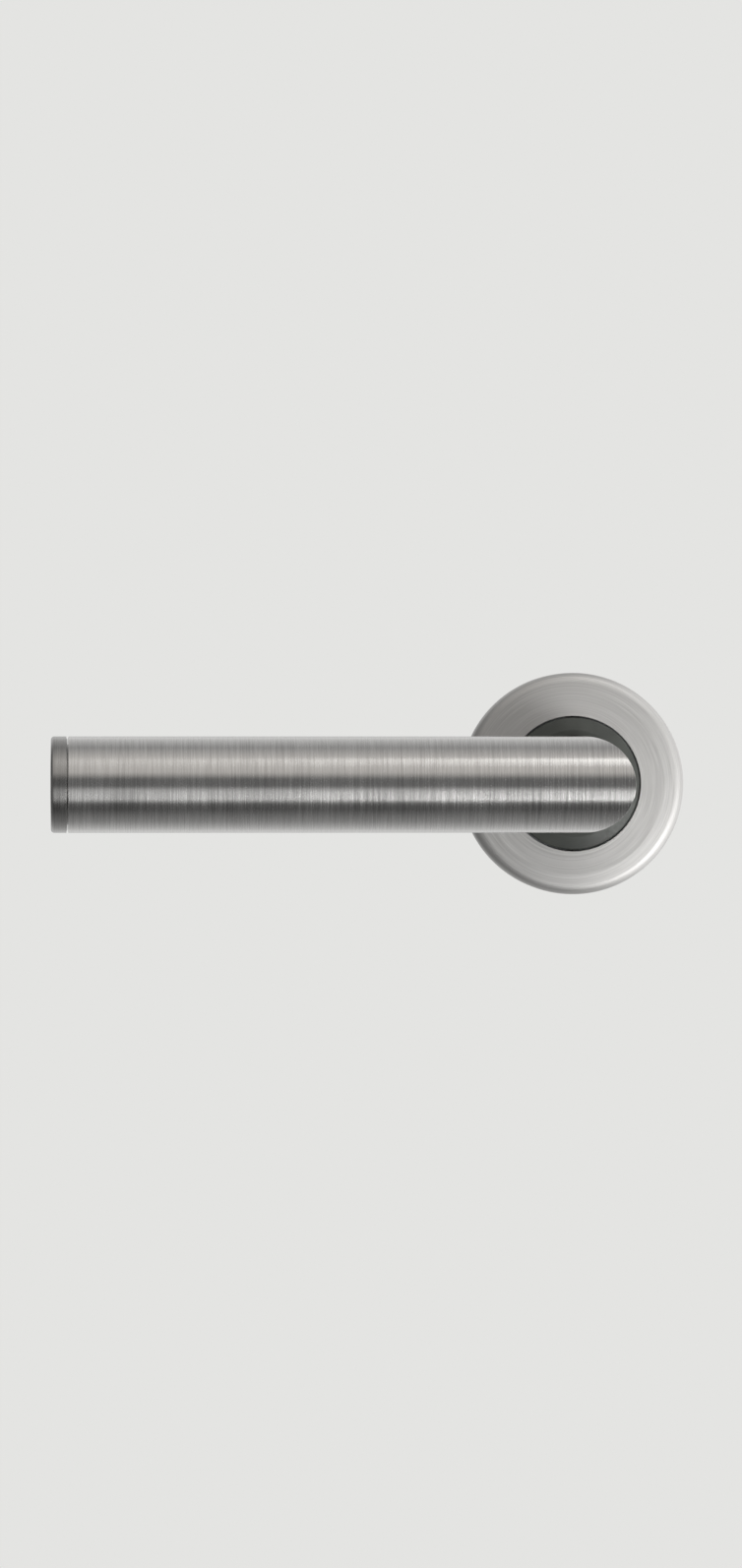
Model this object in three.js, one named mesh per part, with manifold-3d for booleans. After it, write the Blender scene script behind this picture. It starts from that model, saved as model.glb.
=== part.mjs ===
// Lever door handle on a round rose: one side of the door, with its spindle and fixings.
// Millimetres. The spindle turns about the Y axis and the door's face is the plane y = 0.
// +Y runs into the door, the lever stands in front of it at negative y and points to -X,
// and +Z is up.

import * as THREE from 'three';
import { mergeVertices } from 'three/addons/utils/BufferGeometryUtils.js';
import Module from 'manifold-3d';

const wasm = await Module();
wasm.setup();

// The door the set is made for
const doorThickness = 40;

// Clearances
const slipGap = 0.3;          // a piece pushed or set into another
const runningGap = 0.25;      // radial, a turning piece in its bearing
const seatGap = 0.05;         // a head or shoulder on its seat
const endGap = 0.2;           // the end of a pin short of the face beyond it

// Lever: grip and neck are one round tube size, mitred and welded at the corner
const leverReach = 122;       // spindle axis to the tip of the grip
const gripStandoff = 52;      // door face to the axis of the grip
const tubeRadius = 11;
const tubeWall = 1.5;
const mitreGap = 0.3;
const capHeadLength = 3.7;
const capChamfer = 0.8;
const capSpigotLength = 8;

// Hub inside the neck, with the journal that carries the lever
const hubBoreRadius = tubeRadius - tubeWall;
const journalRadius = 8;
const journalFlatDepth = 0.8; // of the two flats that drive the plate
const hubTail = 4;            // how far the hub reaches past the door's face
const hubChamfer = 0.4;

// Spindle and its grub screw
const spindleSize = 8;
const spindleChamfer = 0.6;
const spindleLength = 100;
const spindleInDoor = 67;     // door face to the far end
const screwRadius = 3;
const screwStandoff = 22;     // door face to the screw's axis
const screwSink = 0.7;        // its outer end below the tube's surface
const screwPoint = 1.2;
const screwHex = 3;           // across the flats of the key socket
const screwHexDepth = 2.6;

// Rose cover
const roseRadius = 26;
const roseDepth = 10;
const roseEdgeRadius = 2.6;
const coverWall = 1.2;
const coverGap = 0.4;         // behind the cover's face
const notchWidth = 6;         // slot in the lower edge to lift the cover off
const notchDepth = 1;

// Bearing collar, the dark ring round the neck
const collarRadius = 15.5;
const collarProud = 1.4;
const collarLand = 1.3;       // flat ring next to the neck
const collarCone = 1;         // height of the sloping part
const collarSpigotWall = 2.25;

// Rose base
const baseWall = 1.6;
const baseChamfer = 1;
const chamberRoom = 0.6;       // between the lug and the chamber's wall
const pocketInnerWall = 1.6;
const pocketOuterWall = 2.1;
const pocketDepth = 5.5;
const pocketHalfAngle = 50;

// Snap ring that holds the cover on the base
const snapWire = 0.9;
const snapOffset = 2.6;       // door face to the ring's plane
const snapSink = 0.35;        // how far the ring's centre lies inside the base's edge
const snapOpening = 20;

// Back plate, its bush and rivets
const plateThickness = 1.5;
const plateRim = 0.4;         // outside the rivets' heads
const bushWall = 1.55;
const rivetInset = 1.3;       // from the chamber's wall to the rivets' centres
const rivetRadius = 0.8;
const rivetHeadRadius = 1.2;
const rivetHeadHeight = 0.7;
const rivetLength = 3.4;      // below the plate
const rivetCount = 3;

// Driver plate and its stops
const driverThickness = 1.2;
const driverRim = 0.9;        // past the middle of the spring's wire
const lugRoom = 1.05;         // between the coil and the lug
const lugAngle = 90;          // where the lug stands at rest, from +X towards +Z
const lugHalfAngle = 8;
const lugTab = 1.5;           // how far the bent tab reaches behind the plate
const leverTravel = 45;
const pinRadius = 1;

// Return spring
const springWire = 0.9;
const springRoom = 1.25;      // between the journal and the coil
const springLegExtra = 0.1;   // how far its legs reach past the lug
const springBend = 1;
const springAnchorAngle = 250;
const springFullTurns = 3;

// Retaining ring and thrust washer behind the plate
const washerThickness = 0.4;
const washerBand = 3.8;       // past the journal
const washerGap = 0.1;
const clipThickness = 1;
const clipGrooveDepth = 0.8;
const clipBand = 1.4;         // past the journal
const clipOpening = 56;
const clipEarRadius = 1.5;
const clipEarHole = 0.6;

// Bolts through the door and the sleeve nuts they screw into
const boltSpacing = 38;
const boltRadius = 1.95;
const boltHeadRadius = 3.5;
const boltHeadHeight = 2.4;
const boltHeadChamfer = 0.4;
const boltSlotWidth = 1;
const boltSlotDepth = 1.1;
const boltSink = 2.8;         // depth of the pocket for a head
const boltReach = 38;         // door face to the bolt's end
const sleeveRadius = 3.5;
const sleeveStart = 14;
const sleeveHeadRadius = 5;
const sleeveHeadHeight = 2.4;

// Smoothness of round pieces, in sides
const tubeSides = 40;
const roseSides = 60;
const smallSides = 12;

// Depths that follow from the sizes above
const coverInside = -(roseDepth - coverWall);
const baseFront = coverInside + coverGap;
const baseRadius = roseRadius - coverWall - slipGap;
const chamberFront = baseFront + baseWall;
const driverFront = chamberFront + slipGap;
const driverBack = driverFront + driverThickness;
const collarFront = -(roseDepth + collarProud);
const collarSeat = baseFront - endGap;
const neckEnd = collarSeat - slipGap;
const boltSeat = baseFront + boltSink;
const hubFront = -(gripStandoff - tubeRadius - 1);
const clipFront = washerGap + washerThickness + washerGap;
const springFront = driverBack + runningGap + springWire / 2;
const springBack = -(plateThickness + endGap + springWire / 2);

// Radii of the mechanism, from the journal outwards
const journalFlats = 2 * (journalRadius - journalFlatDepth);
const bushRadius = journalRadius + runningGap + bushWall;
const collarSpigotRadius = journalRadius + runningGap + collarSpigotWall;
const clipRadius = journalRadius + clipBand;
const washerRadius = journalRadius + washerBand;
const springRadius = journalRadius + springRoom + springWire / 2;
const driverRadius = springRadius + driverRim;
const lugInner = springRadius + springWire / 2 + lugRoom;
const lugOuter = lugInner + driverThickness;
const pinCircle = (lugInner + lugOuter) / 2;
const springLegEnd = lugOuter + springLegExtra;
const chamberRadius = lugOuter + chamberRoom;
const rivetCircle = chamberRadius + rivetInset;
const plateRadius = rivetCircle + rivetHeadRadius + plateRim;
const recessRadius = plateRadius + slipGap;
const pocketInner = recessRadius + pocketInnerWall;
const pocketOuter = baseRadius - pocketOuterWall;
const screwTip = spindleSize / 2 + slipGap;
const screwLength = tubeRadius - screwSink - screwTip;

// Solids

function solid(geometry) {
  const bare = geometry.index ? geometry.toNonIndexed() : geometry.clone();
  bare.deleteAttribute('normal');
  bare.deleteAttribute('uv');
  const merged = mergeVertices(bare, 1e-4);
  const corners = merged.index.array;
  const kept = [];
  for (let i = 0; i < corners.length; i += 3) {
    const [a, b, c] = [corners[i], corners[i + 1], corners[i + 2]];
    if (a !== b && b !== c && c !== a) {
      kept.push(a, b, c);
    }
  }
  const vertProperties = new Float32Array(merged.attributes.position.array);
  const triVerts = new Uint32Array(kept);
  return new wasm.Manifold(new wasm.Mesh({ numProp: 3, vertProperties, triVerts }));
}

// A piece turned about Y from a profile of [radius, y] points, listed anticlockwise.
function turned(profile, sides) {
  const points = profile.map(([radius, y]) => new THREE.Vector2(radius, y));
  const [first, last] = [points[0], points[points.length - 1]];
  if (first.x > 0 || last.x > 0) {
    points.push(first.clone());
  }
  return solid(new THREE.LatheGeometry(points, sides));
}

function rod(radius, start, end, sides = smallSides) {
  return turned([[0, start], [radius, start], [radius, end], [0, end]], sides);
}

function ring(inner, outer, start, end, sides = tubeSides) {
  return turned([[inner, start], [outer, start], [outer, end], [inner, end]], sides);
}

// A flat piece cut from an outline in the XZ plane, from y = start to y = end.
function plate(outline, start, end, curveSegments = 6) {
  const geometry = new THREE.ExtrudeGeometry(outline, {
    depth: end - start,
    bevelEnabled: false,
    curveSegments,
  });
  geometry.rotateX(Math.PI / 2);
  geometry.translate(0, end, 0);
  return solid(geometry);
}

function block(width, depth, height, x, y, z) {
  const geometry = new THREE.BoxGeometry(width, depth, height);
  geometry.translate(x, y, z);
  return solid(geometry);
}

function wire(points, diameter, sides, steps) {
  const section = new THREE.Shape();
  for (let i = 0; i < sides; i += 1) {
    const turn = (2 * Math.PI * i) / sides;
    const [x, y] = [Math.cos(turn) * diameter / 2, Math.sin(turn) * diameter / 2];
    if (i === 0) {
      section.moveTo(x, y);
    } else {
      section.lineTo(x, y);
    }
  }
  const path = new THREE.CatmullRomCurve3(points);
  return solid(new THREE.ExtrudeGeometry(section, { steps, extrudePath: path, bevelEnabled: false }));
}

// A round hole cutter along Y through (x, z).
function drill(radius, start, end, x, z, sides = smallSides) {
  return rod(radius, start, end, sides).translate([x, 0, z]);
}

function onCircle(radius, degrees) {
  const angle = THREE.MathUtils.degToRad(degrees);
  return [radius * Math.cos(angle), radius * Math.sin(angle)];
}

function sectorOutline(inner, outer, from, to) {
  const [start, end] = [THREE.MathUtils.degToRad(from), THREE.MathUtils.degToRad(to)];
  const outline = new THREE.Shape();
  outline.absarc(0, 0, outer, start, end, false);
  outline.absarc(0, 0, inner, end, start, true);
  outline.closePath();
  return outline;
}

function piece(name, shape, material) {
  const { vertProperties, triVerts } = shape.getMesh();
  const geometry = new THREE.BufferGeometry();
  geometry.setAttribute('position', new THREE.BufferAttribute(new Float32Array(vertProperties), 3));
  geometry.setIndex(new THREE.BufferAttribute(new Uint32Array(triVerts), 1));
  geometry.computeVertexNormals();
  const mesh = new THREE.Mesh(geometry, material);
  mesh.name = name;
  return mesh;
}

// Materials

function satinStainless() {
  return new THREE.MeshStandardMaterial({ color: 0xb5b1ab, roughness: 0.34, metalness: 1 });
}

function brightSteel() {
  return new THREE.MeshStandardMaterial({ color: 0xc4c6c8, roughness: 0.28, metalness: 1 });
}

function springSteel() {
  return new THREE.MeshStandardMaterial({ color: 0x6f6a62, roughness: 0.35, metalness: 1 });
}

function castZinc() {
  return new THREE.MeshStandardMaterial({ color: 0x8f9193, roughness: 0.5, metalness: 1 });
}

function zincPlate() {
  return new THREE.MeshStandardMaterial({ color: 0xb9bcbf, roughness: 0.32, metalness: 1 });
}

function darkNylon() {
  return new THREE.MeshStandardMaterial({ color: 0x3b3d3d, roughness: 0.5, metalness: 0 });
}

function paleNylon() {
  return new THREE.MeshStandardMaterial({ color: 0xd8d5cc, roughness: 0.5, metalness: 0 });
}

// The lever

// A tube along +Y whose start is cut at 45 degrees, so that side * x + y stays positive.
function mitredTube(length, side) {
  const tube = ring(hubBoreRadius, tubeRadius, -2 * tubeRadius, length);
  const size = 8 * tubeRadius;
  const waste = new THREE.BoxGeometry(size, size, size);
  waste.translate(0, (mitreGap - size) / 2, 0);
  waste.rotateZ(-side * Math.PI / 4);
  return tube.subtract(solid(waste));
}

function gripTube() {
  const length = leverReach - capHeadLength - slipGap;
  return piece('grip_tube', mitredTube(length, -1), satinStainless());
}

function endCap() {
  const spigot = hubBoreRadius - slipGap;
  const seat = leverReach - capHeadLength;
  const shape = turned([
    [0, seat - capSpigotLength],
    [spigot, seat - capSpigotLength],
    [spigot, seat],
    [tubeRadius, seat],
    [tubeRadius, leverReach - capChamfer],
    [tubeRadius - capChamfer, leverReach],
    [0, leverReach],
  ], tubeSides);
  return piece('end_cap', shape, satinStainless());
}

function screwHole(depth) {
  const hole = new THREE.CylinderGeometry(screwRadius + slipGap, screwRadius + slipGap, depth, smallSides);
  hole.rotateX(Math.PI / 2);
  hole.translate(0, 0, -depth / 2);
  return solid(hole);
}

function neckTube() {
  const length = gripStandoff + neckEnd;
  const hole = screwHole(2 * tubeRadius).translate([0, gripStandoff - screwStandoff, 0]);
  const mesh = piece('neck_tube', mitredTube(length, 1).subtract(hole), satinStainless());
  mesh.position.y = -gripStandoff;
  return mesh;
}

function hub() {
  const body = hubBoreRadius - slipGap;
  const groove = journalRadius - clipGrooveDepth;
  const grooveStart = clipFront - washerGap;
  const grooveEnd = clipFront + clipThickness + washerGap;
  let shape = turned([
    [0, hubFront],
    [body, hubFront],
    [body, neckEnd],
    [journalRadius, neckEnd],
    [journalRadius, grooveStart],
    [groove, grooveStart],
    [groove, grooveEnd],
    [journalRadius, grooveEnd],
    [journalRadius, hubTail - hubChamfer],
    [journalRadius - hubChamfer, hubTail],
    [0, hubTail],
  ], tubeSides);
  const flatStart = driverFront - washerGap;
  const flatLength = 2 * (hubTail - flatStart);
  for (const side of [-1, 1]) {
    const across = side * (journalFlats / 2 + journalRadius);
    const flat = block(2 * journalRadius, flatLength, 4 * journalRadius, across, flatStart + flatLength / 2, 0);
    shape = shape.subtract(flat);
  }
  const socket = spindleSize + 2 * endGap;
  const socketStart = spindleInDoor - spindleLength - slipGap;
  const socketLength = 2 * hubTail - socketStart;
  shape = shape.subtract(block(socket, socketLength, socket, 0, socketStart + socketLength / 2, 0));
  shape = shape.subtract(screwHole(2 * tubeRadius).translate([0, -screwStandoff, 0]));
  return piece('hub', shape, castZinc());
}

function setScrew() {
  const body = turned([
    [0, 0],
    [screwRadius - screwPoint, 0],
    [screwRadius, screwPoint],
    [screwRadius, screwLength],
    [0, screwLength],
  ], smallSides);
  const socket = rod(screwHex / Math.sqrt(3), screwLength - screwHexDepth, 2 * screwLength, 6);
  const mesh = piece('set_screw', body.subtract(socket), brightSteel());
  mesh.rotation.x = -Math.PI / 2;
  mesh.position.set(0, -screwStandoff, -screwTip);
  return mesh;
}

function spindle() {
  const half = spindleSize / 2;
  const inner = half - spindleChamfer;
  const outline = new THREE.Shape([
    new THREE.Vector2(half, -inner),
    new THREE.Vector2(half, inner),
    new THREE.Vector2(inner, half),
    new THREE.Vector2(-inner, half),
    new THREE.Vector2(-half, inner),
    new THREE.Vector2(-half, -inner),
    new THREE.Vector2(-inner, -half),
    new THREE.Vector2(inner, -half),
  ]);
  return piece('spindle', plate(outline, spindleInDoor - spindleLength, spindleInDoor), zincPlate());
}

function driverPlate() {
  const [from, to] = [lugAngle - lugHalfAngle, lugAngle + lugHalfAngle];
  const disc = rod(driverRadius, driverFront, driverBack, tubeSides);
  const arm = plate(sectorOutline(journalRadius + 1, lugOuter, from, to), driverFront, driverBack);
  const tab = plate(sectorOutline(lugInner, lugOuter, from, to), driverFront, driverBack + lugTab);
  const across = journalFlats + 2 * endGap;
  const bore = rod(journalRadius + endGap, -roseDepth, 0, tubeSides)
    .intersect(block(across, 2 * roseDepth, 4 * journalRadius, 0, 0, 0));
  return piece('driver_plate', disc.add(arm).add(tab).subtract(bore), zincPlate());
}

function retainingRing() {
  const inner = journalRadius - clipGrooveDepth + endGap;
  const [from, to] = [90 + clipOpening / 2, 450 - clipOpening / 2];
  let shape = plate(sectorOutline(inner, clipRadius, from, to), clipFront, clipFront + clipThickness, 20);
  const earCircle = clipRadius - clipEarRadius / 2;
  for (const angle of [from, to]) {
    const [x, z] = onCircle(earCircle, angle);
    shape = shape.add(drill(clipEarRadius, clipFront, clipFront + clipThickness, x, z));
  }
  for (const angle of [from, to]) {
    const [x, z] = onCircle(earCircle, angle);
    shape = shape.subtract(drill(clipEarHole, 0, 2 * (clipFront + clipThickness), x, z));
  }
  shape = shape.subtract(rod(inner, 0, 2 * (clipFront + clipThickness), tubeSides));
  return piece('retaining_ring', shape, springSteel());
}

function thrustWasher() {
  const shape = ring(journalRadius + runningGap, washerRadius, washerGap, washerGap + washerThickness);
  return piece('thrust_washer', shape, brightSteel());
}

function lever() {
  const grip = new THREE.Group();
  grip.position.y = -gripStandoff;
  grip.rotation.z = Math.PI / 2;
  grip.add(gripTube(), endCap());
  const group = new THREE.Group();
  group.add(grip, neckTube(), hub(), setScrew(), spindle());
  group.add(driverPlate(), retainingRing(), thrustWasher());
  return group;
}

// The rose

// A quarter turn of a rounded edge, from its front to its side, as [radius, y] points.
function edgePoints(centreRadius, centreY, radius, steps = 3) {
  const points = [];
  for (let i = 0; i <= steps; i += 1) {
    const turn = (i / steps) * Math.PI / 2;
    points.push([centreRadius + radius * Math.sin(turn), centreY - radius * Math.cos(turn)]);
  }
  return points;
}

function roseCover() {
  const hole = collarRadius + slipGap;
  const edgeCentre = roseRadius - roseEdgeRadius;
  const edgeDepth = -(roseDepth - roseEdgeRadius);
  const outside = edgePoints(edgeCentre, edgeDepth, roseEdgeRadius);
  const inside = edgePoints(edgeCentre, edgeDepth, roseEdgeRadius - coverWall).reverse();
  const shell = turned([
    [hole, -roseDepth],
    ...outside,
    [roseRadius, 0],
    [roseRadius - coverWall, 0],
    ...inside,
    [hole, coverInside],
  ], roseSides);
  const notch = block(notchWidth, 2 * notchDepth, 4 * coverWall, 0, 0, -roseRadius);
  return piece('rose_cover', shell.subtract(notch), satinStainless());
}

function roseBase() {
  const groove = baseRadius - snapSink - snapWire / 2 - endGap;
  const grooveHalf = snapWire / 2 + endGap;
  let shape = turned([
    [collarSpigotRadius + slipGap, baseFront],
    [baseRadius - baseChamfer, baseFront],
    [baseRadius, baseFront + baseChamfer],
    [baseRadius, -snapOffset - grooveHalf],
    [groove, -snapOffset - grooveHalf],
    [groove, -snapOffset + grooveHalf],
    [baseRadius, -snapOffset + grooveHalf],
    [baseRadius, 0],
    [recessRadius, 0],
    [recessRadius, -plateThickness],
    [chamberRadius, -plateThickness],
    [chamberRadius, chamberFront],
    [collarSpigotRadius + slipGap, chamberFront],
  ], roseSides);
  for (const middle of [0, 180]) {
    const outline = sectorOutline(
      pocketInner, pocketOuter, middle - pocketHalfAngle, middle + pocketHalfAngle);
    shape = shape.subtract(plate(outline, -pocketDepth, pocketDepth));
  }
  for (const side of [-1, 1]) {
    const z = side * boltSpacing / 2;
    shape = shape.subtract(drill(boltRadius + slipGap, -2 * roseDepth, roseDepth, 0, z));
    shape = shape.subtract(drill(boltHeadRadius + slipGap, -2 * roseDepth, boltSeat, 0, z));
  }
  for (const angle of pinAngles()) {
    const [x, z] = onCircle(pinCircle, angle);
    shape = shape.subtract(drill(pinRadius + endGap, -2 * roseDepth, chamberFront + endGap, x, z));
  }
  for (const angle of rivetAngles()) {
    const [x, z] = onCircle(rivetCircle, angle);
    const bottom = -plateThickness - rivetLength - endGap;
    shape = shape.subtract(drill(rivetRadius + slipGap, bottom, roseDepth, x, z, 12));
  }
  return piece('rose_base', shape, castZinc());
}

function bearingCollar() {
  const neckHole = tubeRadius + runningGap;
  const bore = journalRadius + runningGap;
  const shape = turned([
    [neckHole, collarFront],
    [neckHole + collarLand, collarFront],
    [collarRadius, collarFront + collarCone],
    [collarRadius, baseFront],
    [collarSpigotRadius, baseFront],
    [collarSpigotRadius, chamberFront],
    [bore, chamberFront],
    [bore, collarSeat],
    [neckHole, collarSeat],
  ], tubeSides);
  return piece('bearing_collar', shape, darkNylon());
}

function coverSnapRing() {
  const radius = baseRadius - snapSink;
  const points = [];
  const steps = 40;
  for (let i = 0; i <= steps; i += 1) {
    const angle = 90 + snapOpening / 2 + (i / steps) * (360 - snapOpening);
    const [x, z] = onCircle(radius, angle);
    points.push(new THREE.Vector3(x, -snapOffset, z));
  }
  return piece('cover_snap_ring', wire(points, snapWire, 6, 40), springSteel());
}

function backPlate() {
  let shape = ring(bushRadius + slipGap, plateRadius, -plateThickness + seatGap, 0);
  for (const angle of rivetAngles()) {
    const [x, z] = onCircle(rivetCircle, angle);
    shape = shape.subtract(drill(rivetRadius + endGap, -roseDepth, roseDepth, x, z, 12));
    const sink = -(rivetHeadHeight + washerGap + seatGap);
    shape = shape.subtract(drill(rivetHeadRadius + endGap, sink, roseDepth, x, z, 12));
  }
  return piece('back_plate', shape, zincPlate());
}

function rearBush() {
  const shape = ring(journalRadius + runningGap, bushRadius, -plateThickness, 0);
  return piece('rear_bush', shape, paleNylon());
}

function rivetAngles() {
  return Array.from({ length: rivetCount }, (_, i) => (360 / rivetCount) * i);
}

function plateRivets() {
  return rivetAngles().map((angle, i) => {
    const bottom = -(plateThickness + rivetLength);
    const shape = turned([
      [0, bottom],
      [rivetRadius, bottom],
      [rivetRadius, -rivetHeadHeight],
      [rivetHeadRadius, -rivetHeadHeight],
      [rivetHeadRadius, 0],
      [0, 0],
    ], 12);
    const mesh = piece(`plate_rivet_${i + 1}`, shape, brightSteel());
    const [x, z] = onCircle(rivetCircle, angle);
    mesh.position.set(x, -washerGap, z);
    return mesh;
  });
}

// The pins stand where the lug meets them at rest and at the end of its travel, and where
// the spring's fixed leg leans on the third.
function pinAngles() {
  const stopStep = THREE.MathUtils.radToDeg((pinRadius + slipGap) / pinCircle) + lugHalfAngle;
  const legStep = THREE.MathUtils.radToDeg((pinRadius + springWire / 2 + endGap) / pinCircle);
  return [lugAngle - stopStep, lugAngle + leverTravel + stopStep, springAnchorAngle + legStep];
}

function pins() {
  const [rest, travel, anchor] = pinAngles();
  const start = baseFront + endGap;
  const stopEnd = driverBack + washerGap;
  const anchorEnd = -plateThickness - washerGap;
  const placed = [
    ['stop_pin_rest', rest, stopEnd],
    ['stop_pin_travel', travel, stopEnd],
    ['spring_anchor_pin', anchor, anchorEnd],
  ];
  return placed.map(([name, angle, end]) => {
    const mesh = piece(name, rod(pinRadius, 0, end - start), brightSteel());
    const [x, z] = onCircle(pinCircle, angle);
    mesh.position.set(x, start, z);
    return mesh;
  });
}

// The coil starts at its fixed leg by the back plate and winds forwards to the moving leg,
// which leans on the driver's tab.
function returnSpring() {
  const bendAngle = THREE.MathUtils.radToDeg(springBend / pinCircle);
  const legGap = THREE.MathUtils.radToDeg((springWire / 2 + endGap) / pinCircle);
  const start = springAnchorAngle + bendAngle;
  const end = 360 * springFullTurns + lugAngle + lugHalfAngle + legGap - bendAngle;
  const points = [
    ...legPoints(start, springBack, -1).reverse(),
    ...coilPoints(start, end),
    ...legPoints(end, springFront, 1),
  ];
  return piece('return_spring', wire(points, springWire, 6, 88), springSteel());
}

function coilPoints(start, end) {
  const steps = 60;
  const points = [];
  for (let i = 0; i <= steps; i += 1) {
    const share = i / steps;
    const [x, z] = onCircle(springRadius, start + share * (end - start));
    points.push(new THREE.Vector3(x, springBack + share * (springFront - springBack), z));
  }
  return points;
}

// A leg bends outwards from the coil's end and runs straight away from the axis.
function legPoints(angle, y, side) {
  const [outX, outZ] = onCircle(1, angle);
  const [alongX, alongZ] = [-side * outZ, side * outX];
  const points = [];
  for (const turn of [30, 60, 90]) {
    const [along, out] = [
      springBend * Math.sin(THREE.MathUtils.degToRad(turn)),
      springRadius + springBend * (1 - Math.cos(THREE.MathUtils.degToRad(turn))),
    ];
    points.push(new THREE.Vector3(outX * out + alongX * along, y, outZ * out + alongZ * along));
  }
  const end = new THREE.Vector3(
    outX * springLegEnd + alongX * springBend, y, outZ * springLegEnd + alongZ * springBend);
  points.push(end);
  return points;
}

function fixingBolt(name, side) {
  const seat = boltSeat - seatGap;
  const head = seat - boltHeadHeight;
  const shape = turned([
    [0, head],
    [boltHeadRadius - seatGap, head],
    [boltHeadRadius, head + boltHeadChamfer],
    [boltHeadRadius, seat],
    [boltRadius, seat],
    [boltRadius, boltReach],
    [0, boltReach],
  ], smallSides);
  const slot = block(3 * boltHeadRadius, 2 * boltSlotDepth, boltSlotWidth, 0, head, 0);
  const mesh = piece(name, shape.subtract(slot), zincPlate());
  mesh.position.z = side * boltSpacing / 2;
  return mesh;
}

function boltSleeve(name, side) {
  const bore = boltRadius + slipGap;
  const seat = doorThickness - boltSeat;
  const shape = turned([
    [bore, sleeveStart],
    [sleeveRadius, sleeveStart],
    [sleeveRadius, seat],
    [sleeveHeadRadius, seat],
    [sleeveHeadRadius, seat + sleeveHeadHeight],
    [bore, seat + sleeveHeadHeight],
  ], smallSides);
  const mesh = piece(name, shape, zincPlate());
  mesh.position.z = side * boltSpacing / 2;
  return mesh;
}

function rose() {
  const group = new THREE.Group();
  group.add(roseCover(), roseBase(), bearingCollar(), coverSnapRing());
  group.add(backPlate(), rearBush(), ...plateRivets());
  group.add(...pins(), returnSpring());
  group.add(fixingBolt('fixing_bolt_upper', 1), fixingBolt('fixing_bolt_lower', -1));
  group.add(boltSleeve('bolt_sleeve_upper', 1), boltSleeve('bolt_sleeve_lower', -1));
  return group;
}

const handle = new THREE.Group();
handle.add(rose(), lever());

export default handle;
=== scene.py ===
# Lever door handle on a round rose: fine meshes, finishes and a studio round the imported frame.

import math

import bmesh
import bpy
from mathutils import Matrix, Vector


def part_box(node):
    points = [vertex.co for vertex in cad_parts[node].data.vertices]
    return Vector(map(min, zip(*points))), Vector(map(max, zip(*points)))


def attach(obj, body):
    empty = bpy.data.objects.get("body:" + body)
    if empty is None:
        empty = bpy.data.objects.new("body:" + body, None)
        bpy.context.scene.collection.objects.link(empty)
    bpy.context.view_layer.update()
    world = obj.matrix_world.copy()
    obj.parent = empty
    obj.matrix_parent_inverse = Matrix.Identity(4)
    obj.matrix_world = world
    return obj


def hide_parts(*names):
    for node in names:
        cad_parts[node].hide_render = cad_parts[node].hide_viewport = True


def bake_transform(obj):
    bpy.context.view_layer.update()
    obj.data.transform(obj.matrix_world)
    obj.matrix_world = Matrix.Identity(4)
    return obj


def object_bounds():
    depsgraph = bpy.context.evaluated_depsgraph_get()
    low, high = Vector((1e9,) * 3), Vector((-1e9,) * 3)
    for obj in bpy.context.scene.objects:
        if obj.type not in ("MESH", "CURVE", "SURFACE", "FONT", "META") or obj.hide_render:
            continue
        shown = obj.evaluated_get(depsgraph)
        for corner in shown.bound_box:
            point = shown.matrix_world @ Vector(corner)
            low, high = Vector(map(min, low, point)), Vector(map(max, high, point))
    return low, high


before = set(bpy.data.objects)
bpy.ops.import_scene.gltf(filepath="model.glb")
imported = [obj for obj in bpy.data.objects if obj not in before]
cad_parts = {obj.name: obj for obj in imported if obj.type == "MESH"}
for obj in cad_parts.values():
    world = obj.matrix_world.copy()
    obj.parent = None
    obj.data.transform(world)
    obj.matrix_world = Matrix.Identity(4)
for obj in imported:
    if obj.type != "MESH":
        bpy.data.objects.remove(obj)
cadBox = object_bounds()
mm = 0.001
print("frame loaded:", len(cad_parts), "nodes")


def lowOf(node):
    return Vector(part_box(node)[0])


def highOf(node):
    return Vector(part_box(node)[1])


def middleOf(node):
    return (lowOf(node) + highOf(node)) / 2


def spanOf(node):
    return highOf(node) - lowOf(node)


origin = Vector((0, 0, 0))
axisX, axisY, axisZ = Vector((1, 0, 0)), Vector((0, 1, 0)), Vector((0, 0, 1))
gripY = middleOf("grip_tube").y
gripCentre = Vector((0, gripY, 0))
acrossX, acrossY, acrossZ = (0, 1, 1), (1, 0, 1), (1, 1, 0)    # keep only what lies square to that axis


# Finishes

def hexColour(text):
    # sRGB hex to linear light
    def toLinear(value):
        return value / 12.92 if value <= 0.04045 else ((value + 0.055) / 1.055) ** 2.4
    parts = [int(text[i:i + 2], 16) / 255 for i in (1, 3, 5)]
    return (*[toLinear(part) for part in parts], 1)


def addNode(owner, kind, settings=None, inputs=None):
    # owner is a material or a world; inputs are values or sockets to link from
    tree = owner.node_tree
    node = tree.nodes.new(kind)
    for key, value in (settings or {}).items():
        setattr(node, key, value)
    for key, value in (inputs or {}).items():
        if isinstance(value, bpy.types.NodeSocket):
            tree.links.new(value, node.inputs[key])
        else:
            node.inputs[key].default_value = value
    return node


def newMaterial(name):
    material = bpy.data.materials.new(name)
    material.use_nodes = True
    material.node_tree.nodes.clear()
    return material


def outputTo(material, shader):
    addNode(material, "ShaderNodeOutputMaterial", None, {"Surface": shader.outputs[0]})
    return material


def objectPlace(material):
    return addNode(material, "ShaderNodeTexCoord").outputs["Object"]


def shades(material, factor, low, high):
    mix = addNode(material, "ShaderNodeMix", {"data_type": "RGBA"}, {"Factor": factor})
    mix.inputs["A"].default_value = hexColour(low)
    mix.inputs["B"].default_value = hexColour(high)
    return mix.outputs["Result"]


def spread(material, value, low, high, fromLow=0.3, fromHigh=0.7):
    # noise lies mostly between 0.3 and 0.7
    return addNode(material, "ShaderNodeMapRange", {"clamp": True}, {
        "Value": value, "From Min": fromLow, "From Max": fromHigh, "To Min": low, "To Max": high,
    }).outputs["Result"]


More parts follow.
